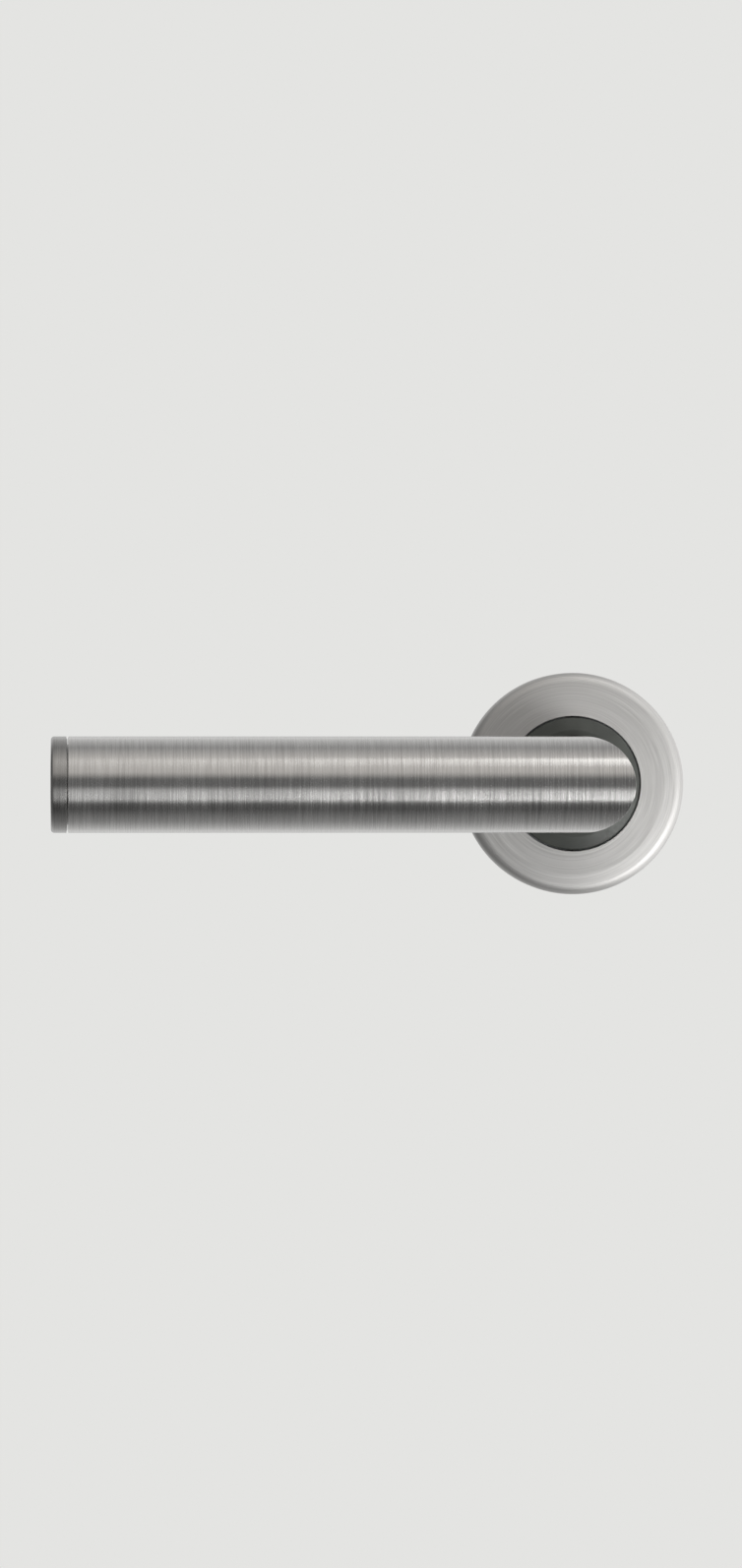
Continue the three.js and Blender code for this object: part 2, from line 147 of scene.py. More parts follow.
def total(material, *values):
    result = values[0]
    for value in values[1:]:
        result = addNode(material, "ShaderNodeMath", {"operation": "ADD"}, {0: result, 1: value}).outputs[0]
    return result


def vectorMath(material, operation, first, second=None):
    inputs = {0: first} if second is None else {0: first, 1: second}
    return addNode(material, "ShaderNodeVectorMath", {"operation": operation}, inputs).outputs


def noiseAt(material, vector, cellMm, detail=2.0, roughness=0.5):
    return addNode(material, "ShaderNodeTexNoise", None, {
        "Vector": vector, "Scale": 1 / (cellMm * mm), "Detail": detail, "Roughness": roughness,
    }).outputs["Fac"]


def bumpFrom(material, height, strength, depthMm):
    return addNode(material, "ShaderNodeBump", None, {
        "Height": height, "Strength": strength, "Distance": depthMm * mm,
    }).outputs["Normal"]


def offAxis(material, place, centre, keep):
    # the vector from the axis through centre to the point, and its length
    away = vectorMath(material, "SUBTRACT", place, centre)[0]
    flat = vectorMath(material, "MULTIPLY", away, keep)[0]
    return flat, vectorMath(material, "LENGTH", flat)["Value"]


steelLook = {
    "dark": "#C5C4C2",        # valleys of the grain
    "light": "#DDDCDA",       # its ridges
    "grainMm": 0.30,          # real grit lines are near 0.05 mm, drawn coarser so that they show
    "grainLengthMm": 11.0,
    "cloudMm": 22.0,          # faint patches left by hands and cloths
    "scuffMm": (0.25, 9.0),   # width and length of stray hairline scratches
    "bump": 0.05,
}
capShadedLook = {**steelLook, "dark": "#9E9D9B", "light": "#B2B1AF"}    # a darker copy of the steel colours: painted shade for the dimmer left end of the lever


def satinStainless(name, look, grain, rough, anisotropy, centre=origin, keep=acrossY):
    # Stainless steel 304 brushed with a fine belt: hairlines run round the tube or in rings, so
    # reflections stay crisp along them and smear across them. A few stray scratches cross the grain.
    # grain is the direction square to the lines, or "rings" for lines in rings about the centre.
    material = newMaterial(name)
    place = objectPlace(material)
    flat, radius = offAxis(material, place, centre, keep)
    if grain == "rings":
        height = vectorMath(material, "SUBTRACT", place, flat)[0]
        rise = vectorMath(material, "DOT_PRODUCT", height, (1, 1, 1))["Value"]
        step = total(material, radius, rise)
        axis = [1 - part for part in keep]
        smear = vectorMath(material, "ADD", vectorMath(material, "NORMALIZE", flat)[0], axis)[0]
    else:
        step = vectorMath(material, "DOT_PRODUCT", place, grain)["Value"]
        smear = addNode(material, "ShaderNodeCombineXYZ", None, dict(zip("XYZ", grain))).outputs[0]
    stretch = look["grainLengthMm"] / look["grainMm"]
    fast = addNode(material, "ShaderNodeMath", {"operation": "MULTIPLY"}, {0: step, 1: stretch}).outputs[0]
    offset = addNode(material, "ShaderNodeCombineXYZ", None, {"X": fast}).outputs[0]
    grainPlace = vectorMath(material, "ADD", place, offset)[0]
    lines = noiseAt(material, grainPlace, look["grainLengthMm"], 3.0, 0.6)
    cloud = noiseAt(material, place, look["cloudMm"], 2.0)
    width, length = look["scuffMm"]
    crossed = addNode(material, "ShaderNodeMapping", None, {
        "Vector": place, "Rotation": (0.5, 0.35, 0.6), "Scale": (1, width / length, 1)}).outputs[0]
    scuff = spread(material, noiseAt(material, crossed, width, 1.0), 0, 1, 0.70, 0.78)
    roughness = total(
        material, spread(material, lines, *rough), spread(material, cloud, -0.02, 0.03),
        spread(material, scuff, 0, 0.08, 0, 1))
    height = total(material, lines, spread(material, scuff, 0, -0.3, 0, 1))
    tangent = addNode(material, "ShaderNodeVectorTransform", {
        "vector_type": "VECTOR", "convert_from": "OBJECT", "convert_to": "WORLD"}, {"Vector": smear})
    shader = addNode(material, "ShaderNodeBsdfPrincipled", None, {
        "Base Color": shades(material, spread(material, lines, 0, 1), look["dark"], look["light"]),
        "Metallic": 1.0, "Roughness": roughness, "Anisotropic": anisotropy, "Tangent": tangent.outputs[0],
        "Normal": bumpFrom(material, height, look["bump"], 0.05),
    })
    return outputTo(material, shader)


nylonLook = {"dark": "#3A3D39", "light": "#484B46", "sparkMm": 0.45, "flowMm": 7.0, "bump": 0.2}
acetalLook = {"dark": "#CBC7BB", "light": "#DCD8CD", "sparkMm": 0.45, "flowMm": 5.0, "bump": 0.1}


def mouldedNylon(name, look):
    # Glass-filled nylon or acetal from a spark-eroded mould: even and matt, with fine leathery pitting.
    material = newMaterial(name)
    place = objectPlace(material)
    spark = noiseAt(material, place, look["sparkMm"], 3.0, 0.6)
    flow = noiseAt(material, place, look["flowMm"])
    shader = addNode(material, "ShaderNodeBsdfPrincipled", None, {
        "Base Color": shades(material, spread(material, flow, 0, 1), look["dark"], look["light"]),
        "Roughness": spread(material, spark, 0.38, 0.56), "IOR": 1.53,
        "Normal": bumpFrom(material, spark, look["bump"], 0.08),
    })
    return outputTo(material, shader)


castLook = {"dark": "#85878A", "light": "#A7A9AB", "grainMm": 0.6, "patchMm": 8.0, "bump": 0.3}


def dieCastZinc(name):
    # Zinc alloy from the die, tumbled: dull grey, softly pebbled, with darker patches where it chilled.
    look = castLook
    material = newMaterial(name)
    place = objectPlace(material)
    pebble = noiseAt(material, place, look["grainMm"], 4.0, 0.65)
    patch = noiseAt(material, place, look["patchMm"], 3.0)
    shader = addNode(material, "ShaderNodeBsdfPrincipled", None, {
        "Base Color": shades(material, spread(material, patch, 0, 1), look["dark"], look["light"]),
        "Metallic": 1.0, "Roughness": spread(material, pebble, 0.40, 0.58),
        "Normal": bumpFrom(material, pebble, look["bump"], 0.12),
    })
    return outputTo(material, shader)


plateLook = {"blue": "#BCC1C6", "straw": "#CDCBC2", "patchMm": 6.0, "drawMm": (0.35, 8.0), "bump": 0.12}


def zincPlatedSteel(name, drawn):
    # Steel with blue passivated zinc: bright and slightly cloudy, blue in places and straw in others,
    # over the lines that rolling or drawing left. drawn is the direction of those lines.
    look = plateLook
    material = newMaterial(name)
    place = objectPlace(material)
    patch = noiseAt(material, place, look["patchMm"], 3.0, 0.6)
    width, length = look["drawMm"]
    squeeze = [width / length if value else 1.0 for value in drawn]
    linePlace = addNode(material, "ShaderNodeMapping", None, {"Vector": place, "Scale": squeeze}).outputs[0]
    lines = noiseAt(material, linePlace, width)
    shader = addNode(material, "ShaderNodeBsdfPrincipled", None, {
        "Base Color": shades(material, spread(material, patch, 0, 1), look["blue"], look["straw"]),
        "Metallic": 1.0, "Roughness": total(
            material, spread(material, lines, 0.22, 0.34), spread(material, patch, 0, 0.05)),
        "Normal": bumpFrom(material, lines, look["bump"], 0.05),
    })
    return outputTo(material, shader)


turnedLook = {"dark": "#ABACAD", "light": "#D0D1D2", "feedMm": 0.22, "bump": 0.15}


def turnedSteel(name, centre=origin, keep=acrossY):
    # Free-cutting steel off the lathe: bright, with fine rings left by the feed of the tool.
    look = turnedLook
    material = newMaterial(name)
    radius = offAxis(material, objectPlace(material), centre, keep)[1]
    ringPlace = addNode(material, "ShaderNodeCombineXYZ", None, {"X": radius}).outputs[0]
    rings = noiseAt(material, ringPlace, look["feedMm"], 1.0)
    shader = addNode(material, "ShaderNodeBsdfPrincipled", None, {
        "Base Color": shades(material, spread(material, rings, 0, 1), look["dark"], look["light"]),
        "Metallic": 1.0, "Roughness": spread(material, rings, 0.2, 0.34),
        "Normal": bumpFrom(material, rings, look["bump"], 0.04),
    })
    return outputTo(material, shader)


springLook = {"dark": "#4F4A43", "light": "#7A746B", "patchMm": 3.0, "scratchMm": 0.3, "bump": 0.1}


def oiledSpringSteel(name):
    # Hard-drawn wire and stamped spring steel, blackened and oiled: dark brown-grey, half glossy.
    look = springLook
    material = newMaterial(name)
    place = objectPlace(material)
    patch = noiseAt(material, place, look["patchMm"], 3.0)
    scratch = noiseAt(material, place, look["scratchMm"])
    shader = addNode(material, "ShaderNodeBsdfPrincipled", None, {
        "Base Color": shades(material, spread(material, patch, 0, 1), look["dark"], look["light"]),
        "Metallic": 1.0, "Roughness": spread(material, scratch, 0.24, 0.40),
        "Normal": bumpFrom(material, scratch, look["bump"], 0.04),
    })
    return outputTo(material, shader)


finishes = {
    "gripSteel": satinStainless("brushedStainlessGrip", steelLook, axisX, (0.18, 0.26), 0.8),
    "neckSteel": satinStainless("brushedStainlessNeck", steelLook, axisY, (0.18, 0.26), 0.8),
    # the cap's darker steel colours are painted shade
    "capSteel": satinStainless(
        "brushedStainlessCap", capShadedLook, "rings", (0.20, 0.28), 0.7, gripCentre, acrossX),
    "roseSteel": satinStainless("spunStainlessRose", steelLook, "rings", (0.50, 0.58), 0.2),
    "darkNylon": mouldedNylon("glassFilledNylon", nylonLook),
    "paleAcetal": mouldedNylon("naturalAcetal", acetalLook),
    "castZinc": dieCastZinc("dieCastZinc"),
    "plateZinc": zincPlatedSteel("zincPlatedSheet", axisX),
    "barZinc": zincPlatedSteel("zincPlatedBar", axisY),
    "turnedSteel": turnedSteel("turnedSteel"),
    "screwSteel": turnedSteel("turnedScrewSteel", middleOf("set_screw"), acrossZ),
    "springSteel": oiledSpringSteel("oiledSpringSteel"),
}
print("finishes made:", len(finishes))


# Ways of making shapes

def softCorners(corners, steps):
    # corners are (radius, y) or (radius, y, rounding); a rounding becomes an arc
    points = []
    for i, (radius, y, *rounding) in enumerate(corners):
        here = Vector((radius, y))
        if not rounding:
            points.append(here)
            continue
        back = (Vector(corners[i - 1][:2]) - here).normalized()
        ahead = (Vector(corners[(i + 1) % len(corners)][:2]) - here).normalized()
        half = back.angle(ahead) / 2
        reach = rounding[0] / math.tan(half)
        centre = here + (back + ahead).normalized() * (rounding[0] / math.sin(half))
        first = here + back * reach - centre
        last = here + ahead * reach - centre
        sweep = first.angle_signed(last)
        for k in range(steps + 1):
            points.append(centre + Matrix.Rotation(-sweep * k / steps, 2) @ first)
    return points


def closeUp(bm, distance=0.002 * mm):
    bmesh.ops.remove_doubles(bm, verts=bm.verts, dist=distance)
    bmesh.ops.dissolve_degenerate(bm, edges=bm.edges, dist=distance)
    bmesh.ops.recalc_face_normals(bm, faces=bm.faces)
    return bm


def lathe(corners, segments=96, steps=4):
    # spins a profile about the spindle axis; it closes on itself or runs from the axis back to it
    bm = bmesh.new()
    verts = [bm.verts.new((p.x, p.y, 0)) for p in softCorners(corners, steps)]
    pairs = [(verts[i - 1], verts[i]) for i in range(len(verts))]
    edges = [bm.edges.new(pair) for pair in pairs if pair[0].co.x or pair[1].co.x]
    bmesh.ops.spin(
        bm, geom=verts + edges, cent=origin, axis=axisY, dvec=origin,
        angle=2 * math.pi, steps=segments, use_merge=True, use_duplicate=False)
    return closeUp(bm)


def ring(inner, outer, start, end, edge, segments=96):
    corners = [(inner, start, edge), (outer, start, edge), (outer, end, edge), (inner, end, edge)]
    return lathe(corners, segments, 2)


def moved(bm, vec):
    bmesh.ops.translate(bm, verts=bm.verts, vec=vec)
    return bm


def turnedBy(bm, degrees, axis):
    bmesh.ops.rotate(bm, verts=bm.verts, cent=origin, matrix=Matrix.Rotation(math.radians(degrees), 3, axis))
    return bm


def pin(radius, start, end, x=0.0, z=0.0, edge=0.0, segments=32):
    # a closed rod along the spindle axis, its end corners rounded if asked
    soft = (edge,) if edge else ()
    bm = lathe([(0, start), (radius, start, *soft), (radius, end, *soft), (0, end)], segments, 3)
    return moved(bm, (x, 0, z))


def bar(width, depth, height, centre):
    bm = bmesh.new()
    size = Matrix.Diagonal((width, depth, height, 1))
    bmesh.ops.create_cube(bm, size=1, matrix=Matrix.Translation(centre) @ size)
    return bm


def roundLongEdges(bm, radius, segments=3):
    # the corners that run along the spindle axis
    edges = [
        edge for edge in bm.edges
        if abs((edge.verts[0].co - edge.verts[1].co).normalized().y) > 0.99 and edge.calc_face_angle(0) > 0.8]
    bmesh.ops.bevel(
        bm, geom=edges, offset=radius, segments=segments, profile=0.5, affect="EDGES", material=-1)
    return bm


def onCircle(radius, degrees, y=0.0):
    # angles run from +X towards +Z
    angle = math.radians(degrees)
    return Vector((radius * math.cos(angle), y, radius * math.sin(angle)))


def sector(inner, outer, fromAngle, toAngle, start, end, steps=40):
    # a curved bar: a rectangle swept about the spindle axis
    bm = bmesh.new()
    verts = [bm.verts.new((r, y, 0)) for r, y in ((inner, start), (outer, start), (outer, end), (inner, end))]
    face = bm.faces.new(verts)
    turnedBy(bm, -fromAngle, "Y")
    bmesh.ops.spin(
        bm, geom=[face], cent=origin, axis=-axisY, dvec=origin,
        angle=math.radians(toAngle - fromAngle), steps=steps, use_merge=False, use_duplicate=False)
    return closeUp(bm)


def meshObject(name, bm):
    mesh = bpy.data.meshes.new(name)
    bm.to_mesh(mesh)
    bm.free()
    made = bpy.data.objects.new(name, mesh)
    bpy.context.scene.collection.objects.link(made)
    return made


def combine(bm, others, operation):
    # joins the others to bm, or cuts them out of it, at a thousand times the size for a clean result
    for each in (bm, *others):
        bmesh.ops.scale(each, verts=each.verts, vec=(1 / mm, 1 / mm, 1 / mm))
    body = meshObject("work", bm)
    tools = [meshObject("tool", other) for other in others]
    for tool in tools:
        modifier = body.modifiers.new("combine", "BOOLEAN")
        modifier.object = tool
        modifier.operation = operation
        modifier.solver = "EXACT"
    graph = bpy.context.evaluated_depsgraph_get()
    result = bmesh.new()
    result.from_mesh(body.evaluated_get(graph).data)
    for item in [body, *tools]:
        mesh = item.data
        bpy.data.objects.remove(item)
        bpy.data.meshes.remove(mesh)
    bmesh.ops.scale(result, verts=result.verts, vec=(mm, mm, mm))
    bmesh.ops.remove_doubles(result, verts=result.verts, dist=0.001 * mm)
    return result


def cut(bm, others):
    return combine(bm, others, "DIFFERENCE")


def join(bm, others):
    return combine(bm, others, "UNION")


def wireStart(point, heading, radius, sides=14):
    bm = bmesh.new()
    turn = axisZ.rotation_difference(heading).to_matrix().to_4x4()
    bmesh.ops.create_circle(
        bm, cap_ends=True, segments=sides, radius=radius, matrix=Matrix.Translation(point) @ turn)
    return bm, next(iter(bm.faces))


def wireEnd(bm, face, grown):
    # the new end face; the old one is taken out once the wire runs on from it
    if all(len(edge.link_faces) > 2 for edge in face.edges):
        bmesh.ops.delete(bm, geom=[face], context="FACES_ONLY")
    return next(item for item in grown if isinstance(item, bmesh.types.BMFace))


def wireLine(bm, face, vec):
    grown = bmesh.ops.extrude_face_region(bm, geom=[face])["geom"]
    bmesh.ops.translate(bm, verts=[item for item in grown if isinstance(item, bmesh.types.BMVert)], vec=vec)
    return wireEnd(bm, face, grown)


def wireTurn(bm, face, centre, axis, degrees, steps, rise=origin):
    # rise is how far the wire climbs along the axis in the whole turn
    grown = bmesh.ops.spin(
        bm, geom=[face], cent=centre, axis=axis, dvec=rise / steps,
        angle=math.radians(degrees), steps=steps, use_merge=False, use_duplicate=False)["geom_last"]
    return wireEnd(bm, face, grown)


def addPiece(name, bm, finish, slot, body, *nodes, edgeMm=0.0, sharpDegrees=32):
    for face in bm.faces:
        face.smooth = True
    piece = meshObject(name, bm)
    piece.data.set_sharp_from_angle(angle=math.radians(sharpDegrees))
    piece.data.materials.append(finishes[finish])
    if edgeMm:
        bevel = piece.modifiers.new("edges", "BEVEL")
        bevel.width = edgeMm * mm
        bevel.segments = 2
        bevel.limit_method = "ANGLE"
        bevel.angle_limit = math.radians(sharpDegrees)
        piece.modifiers.new("weld", "WELD").merge_threshold = 0.003 * mm
    normals = piece.modifiers.new("normals", "WEIGHTED_NORMAL")
    normals.keep_sharp = True
    if body:
        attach(piece, body)
    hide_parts(*nodes)
    return piece


# Lever

tube = {
    "radius": spanOf("grip_tube").z / 2,
    "wall": 1.5 * mm,
    "segments": 144,
    "mitreGap": 0.03 * mm,     # the weld is ground flush and leaves a hairline
    "mitreEdge": 0.06 * mm,
    "seamEdge": 0.22 * mm,     # broken rim at the cap's seam
    "slip": 0.3 * mm,
}


def mitredTube(endPoint, corner, planeNormal):
    # a tube from endPoint to the corner, cut there by the mitre plane
    axis = (corner - endPoint).normalized()
    length = (corner - endPoint).length
    radius, inner = tube["radius"], tube["radius"] - tube["wall"]
    bm = lathe([
        (inner, 0, 0.1 * mm), (radius, 0, tube["seamEdge"]),
        (radius, length + 2 * radius), (inner, length + 2 * radius),
    ], tube["segments"])
    turn = axisY.rotation_difference(axis).to_matrix().to_4x4()
    bmesh.ops.transform(bm, verts=bm.verts, matrix=Matrix.Translation(endPoint) @ turn)
    planePoint = corner - planeNormal * tube["mitreGap"] / 2
    bmesh.ops.bisect_plane(
        bm, geom=bm.verts[:] + bm.edges[:] + bm.faces[:],
        plane_co=planePoint, plane_no=planeNormal, clear_outer=True)
    bmesh.ops.triangle_fill(bm, use_beauty=True, edges=[edge for edge in bm.edges if edge.is_boundary])
    bmesh.ops.recalc_face_normals(bm, faces=bm.faces)

    def onOuterRim(vert):
        away = vert.co - endPoint
        reach = (away - axis * away.dot(axis)).length
        return abs((vert.co - planePoint).dot(planeNormal)) < 0.005 * mm and abs(reach - radius) < 0.01 * mm
    rim = [edge for edge in bm.edges if all(onOuterRim(vert) for vert in edge.verts)]
    bmesh.ops.bevel(
        bm, geom=rim, offset=tube["mitreEdge"], segments=2, profile=0.5, affect="EDGES", material=-1)
    return bm


def makeGrip():
    bm = mitredTube(Vector((lowOf("grip_tube").x, gripY, 0)), gripCentre, Vector((1, 1, 0)).normalized())
    addPiece("grip_brushed", bm, "gripSteel", "satin_stainless", "lever", "grip_tube")


def makeNeck():
    end = Vector((0, highOf("neck_tube").y, 0))
    bm = mitredTube(end, gripCentre, Vector((-1, -1, 0)).normalized())
    hole = pin(spanOf("set_screw").y / 2 + tube["slip"], 0, 2 * tube["radius"], segments=48)
    turnedBy(hole, -90, "X")
    bm = cut(bm, [moved(hole, (0, middleOf("set_screw").y, 0))])
    addPiece("neck_brushed", bm, "neckSteel", "satin_stainless", "lever", "neck_tube", edgeMm=0.1)


cap = {
    "rounding": 0.75 * mm,
    "dome": 0.12 * mm,
    "shadowGap": 0.10 * mm,       # widens the seam, which reads as a dark line
    "seamDepth": 0.5 * mm,
    "seamEdge": 0.04 * mm,
    "shoulder": 0.20 * mm,        # the seam's floor, short of the tube's end
}


def makeCap():
    low, high = lowOf("end_cap"), highOf("end_cap")
    seam = lowOf("grip_tube").x - tube["slip"]
    radius = tube["radius"]
    spigot = radius - tube["wall"] - tube["slip"]
    flange = cap["shadowGap"] - seam
    bm = lathe([
        (0, -high.x),
        (spigot, -high.x, 0.5 * mm),
        (spigot, flange - cap["shoulder"]),
        (radius - cap["seamDepth"], flange - cap["shoulder"]),
        (radius - cap["seamDepth"], flange),
        (radius, flange, cap["seamEdge"]),
        (radius, -low.x - cap["dome"], cap["rounding"]),
        (radius * 0.55, -low.x - cap["dome"] * 0.3, 4 * mm),
        (0, -low.x),
    ], tube["segments"], 6)
    addPiece("end_cap_brushed", moved(turnedBy(bm, 90, "Z"), gripCentre),
             "capSteel", "satin_stainless", "lever", "end_cap")


grubScrew = {"point": 1.2 * mm, "hex": 3.0 * mm, "hexDepth": 2.6 * mm, "pitch": 1.0 * mm, "depth": 0.5 * mm}


def makeSetScrew():
    low, high = lowOf("set_screw"), highOf("set_screw")
    radius = (high.y - low.y) / 2
    length = high.z - low.z
    bm = threadedRod(radius, radius - grubScrew["depth"], grubScrew["pitch"], 0, length)
    trim = lathe([
        (0, 0), (radius - grubScrew["point"], 0), (radius * 1.02, grubScrew["point"]),
        (radius * 1.02, length - 0.4 * mm), (radius - 0.4 * mm, length), (0, length),
    ], 48)
    bm = combine(bm, [trim], "INTERSECT")
    socket = pin(grubScrew["hex"] / math.sqrt(3), length - grubScrew["hexDepth"], 2 * length, segments=6)
    bm = turnedBy(cut(bm, [socket]), -90, "X")
    addPiece("grub_screw_m6", moved(bm, (0, (low.y + high.y) / 2, high.z)),
             "screwSteel", "bright_steel", "lever", "set_screw")


def threadedRod(major, minor, pitch, start, end, stepsPerTurn=32):
    # one turn of the thread is wound, then repeated up the axis and cut flat at both ends
    bm = bmesh.new()
    outline = [(minor, 0), (minor, 0.12), (major, 0.45), (major, 0.6), (minor, 0.93), (minor, 1)]
    verts = [bm.verts.new((radius, start + (share - 1.5) * pitch, 0)) for radius, share in outline]
    edges = [bm.edges.new(pair) for pair in zip(verts, verts[1:])]
    bmesh.ops.spin(
        bm, geom=verts + edges, cent=origin, axis=axisY, dvec=axisY * pitch / stepsPerTurn,
        angle=2 * math.pi, steps=stepsPerTurn, use_merge=False, use_duplicate=False)
    firstTurn = bm.verts[:] + bm.edges[:] + bm.faces[:]
    for turn in range(1, math.ceil((end - start) / pitch) + 2):
        copy = bmesh.ops.duplicate(bm, geom=firstTurn)["geom"]
        copied = [item for item in copy if isinstance(item, bmesh.types.BMVert)]
        bmesh.ops.translate(bm, verts=copied, vec=axisY * pitch * turn)
    bmesh.ops.remove_doubles(bm, verts=bm.verts, dist=0.004 * mm)
    for level, side in ((start, -1), (end, 1)):
        bmesh.ops.bisect_plane(
            bm, geom=bm.verts[:] + bm.edges[:] + bm.faces[:],
            plane_co=axisY * level, plane_no=axisY * side, clear_outer=True)
        bmesh.ops.holes_fill(bm, edges=[
            edge for edge in bm.edges
            if edge.is_boundary and all(abs(vert.co.y - level) < 0.01 * mm for vert in edge.verts)])
    return closeUp(bm)


hub = {
    "journal": 8 * mm,
    "flats": 14.4 * mm,
    "flatsFrom": -6.6 * mm,
    "groove": (0.5 * mm, 1.7 * mm, 7.2 * mm),    # from, to, radius
    "socket": 8.4 * mm,
    "socketCorner": 0.5 * mm,
}


def makeHub():
    front, tail = lowOf("hub").y, highOf("hub").y
    body = tube["radius"] - tube["wall"] - tube["slip"]
    neckEnd = highOf("neck_tube").y
    grooveFrom, grooveTo, grooveRadius = hub["groove"]
    journal = hub["journal"]
    bm = lathe([
        (0, front), (body, front, 0.6 * mm), (body, neckEnd, 0.15 * mm), (journal, neckEnd),
        (journal, grooveFrom), (grooveRadius, grooveFrom), (grooveRadius, grooveTo), (journal, grooveTo),
        (journal, tail, 0.4 * mm), (0, tail),
    ])
    depth = 2 * (tail - hub["flatsFrom"])
    flats = []
    for side in (-1, 1):
        centre = (side * (hub["flats"] / 2 + journal), hub["flatsFrom"] + depth / 2, 0)
        flats.append(bar(2 * journal, depth, 4 * journal, centre))
    socketFrom = lowOf("spindle").y - tube["slip"]
    socket = bar(hub["socket"], 4 * tail - socketFrom, hub["socket"], (0, (4 * tail + socketFrom) / 2, 0))
    roundLongEdges(socket, hub["socketCorner"])
    hole = turnedBy(pin(spanOf("set_screw").y / 2 + tube["slip"], 0, 2 * tube["radius"]), -90, "X")
    moved(hole, (0, middleOf("set_screw").y, 0))
    bm = cut(bm, [*flats, socket, hole])
    addPiece("hub_cast", bm, "castZinc", "cast_zinc", "lever", "hub", edgeMm=0.12)


spindleBar = {"corner": 0.6 * mm, "endChamfer": 0.7 * mm}


def makeSpindle():
    low, high = lowOf("spindle"), highOf("spindle")
    size = high.x - low.x
    bm = bar(size, high.y - low.y, size, middleOf("spindle"))
    roundLongEdges(bm, spindleBar["corner"], 2)
    ends = [edge for edge in bm.edges if abs(edge.verts[0].co.y - edge.verts[1].co.y) < 0.01 * mm]
    bmesh.ops.bevel(
        bm, geom=ends, offset=spindleBar["endChamfer"], segments=1, profile=0.5, affect="EDGES", material=-1)
    addPiece("spindle_square", bm, "barZinc", "zinc_plate", "lever", "spindle", edgeMm=0.08)


driver = {"lug": (11.2 * mm, 12.4 * mm), "lugAngles": (82, 98), "disc": 10.6 * mm, "thickness": 1.2 * mm}


def makeDriverPlate():
    low, high = lowOf("driver_plate"), highOf("driver_plate")
    front, back = low.y, low.y + driver["thickness"]
    inner, outer = driver["lug"]
    bm = pin(driver["disc"], front, back, segments=96)
    arm = sector(hub["journal"] + 1 * mm, outer, *driver["lugAngles"], front, back, 8)
    tab = sector(inner, outer, *driver["lugAngles"], front, high.y, 8)
    bore = pin(hub["journal"] + 0.2 * mm, 2 * front, 0, segments=72)
    across = hub["flats"] + 0.4 * mm
    bore = combine(bore, [bar(across, 40 * mm, 40 * mm, origin)], "INTERSECT")
    bm = cut(join(bm, [arm, tab]), [bore])
    addPiece("driver_plate_stamped", bm, "plateZinc", "zinc_plate", "lever", "driver_plate")


circlip = {
    "inner": 7.4 * mm,
    "outer": 9.4 * mm,
    "opening": 56,               # degrees
    "ear": 1.5 * mm,
    "earCircle": 8.65 * mm,
    "earHole": 0.6 * mm,
}


def makeCirclip():
    front, back = lowOf("retaining_ring").y, highOf("retaining_ring").y
    ends = (90 + circlip["opening"] / 2, 450 - circlip["opening"] / 2)
    bm = sector(circlip["inner"], circlip["outer"], *ends, front, back, 80)
    ears, holes = [], [pin(circlip["inner"], 2 * front - back, 2 * back, segments=96)]
    for angle in ends:
        place = onCircle(circlip["earCircle"], angle)
        ears.append(pin(circlip["ear"], front, back, place.x, place.z, segments=40))
        holes.append(pin(circlip["earHole"], 2 * front - back, 2 * back, place.x, place.z, segments=24))
    bm = cut(join(bm, ears), holes)
    addPiece("circlip_stamped", bm, "springSteel", "spring_steel", "lever", "retaining_ring")


def makeWasher():
    low, high = lowOf("thrust_washer"), highOf("thrust_washer")
    bm = ring(hub["journal"] + 0.25 * mm, high.x, low.y, high.y, 0.08 * mm, 96)
    addPiece("thrust_washer_flat", bm, "turnedSteel", "bright_steel", "lever", "thrust_washer")


makeGrip()
makeNeck()
makeCap()
makeSetScrew()
makeHub()
makeSpindle()
makeDriverPlate()
makeCirclip()
makeWasher()
print("lever made")


# Rose

rivetNodes = ("plate_rivet_1", "plate_rivet_2", "plate_rivet_3")
pinNodes = ("stop_pin_rest", "stop_pin_travel", "spring_anchor_pin")

cover = {
    "edge": 2.4 * mm,
    "crown": (4.6 * mm, 0.42 * mm, 7 * mm),    # the face falls away near the rim: width, fall and rounding
    "wall": 1.2 * mm,
    "holeEdge": 0.22 * mm,
    "rim": 0.25 * mm,
    "notch": (6 * mm, 1.0 * mm),    # width and depth of the slot for lifting the cover off
    "segments": 192,
}


def makeCover():
    radius, front, back = highOf("rose_cover").z, lowOf("rose_cover").y, highOf("rose_cover").y
    hole = highOf("bearing_collar").z + 0.3 * mm
    wall = cover["wall"]
    width, fall, soft = cover["crown"]
    bm = lathe([
        (hole, front, cover["holeEdge"]),
        (radius - width, front, soft),
        (radius, front + fall, cover["edge"]),
        (radius, back, cover["rim"]),
        (radius - wall, back, cover["rim"]),
        (radius - wall, front + fall + wall, cover["edge"] - wall),
        (hole, front + wall, 0.1 * mm),
    ], cover["segments"], 10)
    width, depth = cover["notch"]
    notch = roundLongEdges(bar(width, 2 * depth, 4 * wall, (0, 0, -radius)), 0.2 * mm)
    bm = cut(bm, [notch])
    addPiece("rose_cover_spun", bm, "roseSteel", "satin_stainless", "rose", "rose_cover")


collar = {
    "neckGap": 0.25 * mm,
    "land": 1.3 * mm,
    "cone": 1.0 * mm,
    "bore": 8.25 * mm,
    "spigot": 10.5 * mm,
}


def makeCollar():
    low, high = lowOf("bearing_collar"), highOf("bearing_collar")
    neckHole = tube["radius"] + collar["neckGap"]
    seat = highOf("neck_tube").y + tube["slip"]
    baseFront = lowOf("rose_base").y
    bore = collar["bore"]
    bm = lathe([
        (neckHole, low.y, 0.25 * mm),
        (neckHole + collar["land"], low.y, 0.9 * mm),
        (high.z, low.y + collar["cone"], 0.5 * mm),
        (high.z, baseFront, 0.15 * mm),
        (collar["spigot"], baseFront),
        (collar["spigot"], high.y, 0.2 * mm),
        (bore, high.y, 0.2 * mm),
        (bore, seat),
        (neckHole, seat),
    ], tube["segments"])
    addPiece("bearing_collar_moulded", bm, "darkNylon", "dark_nylon", "rose", "bearing_collar")


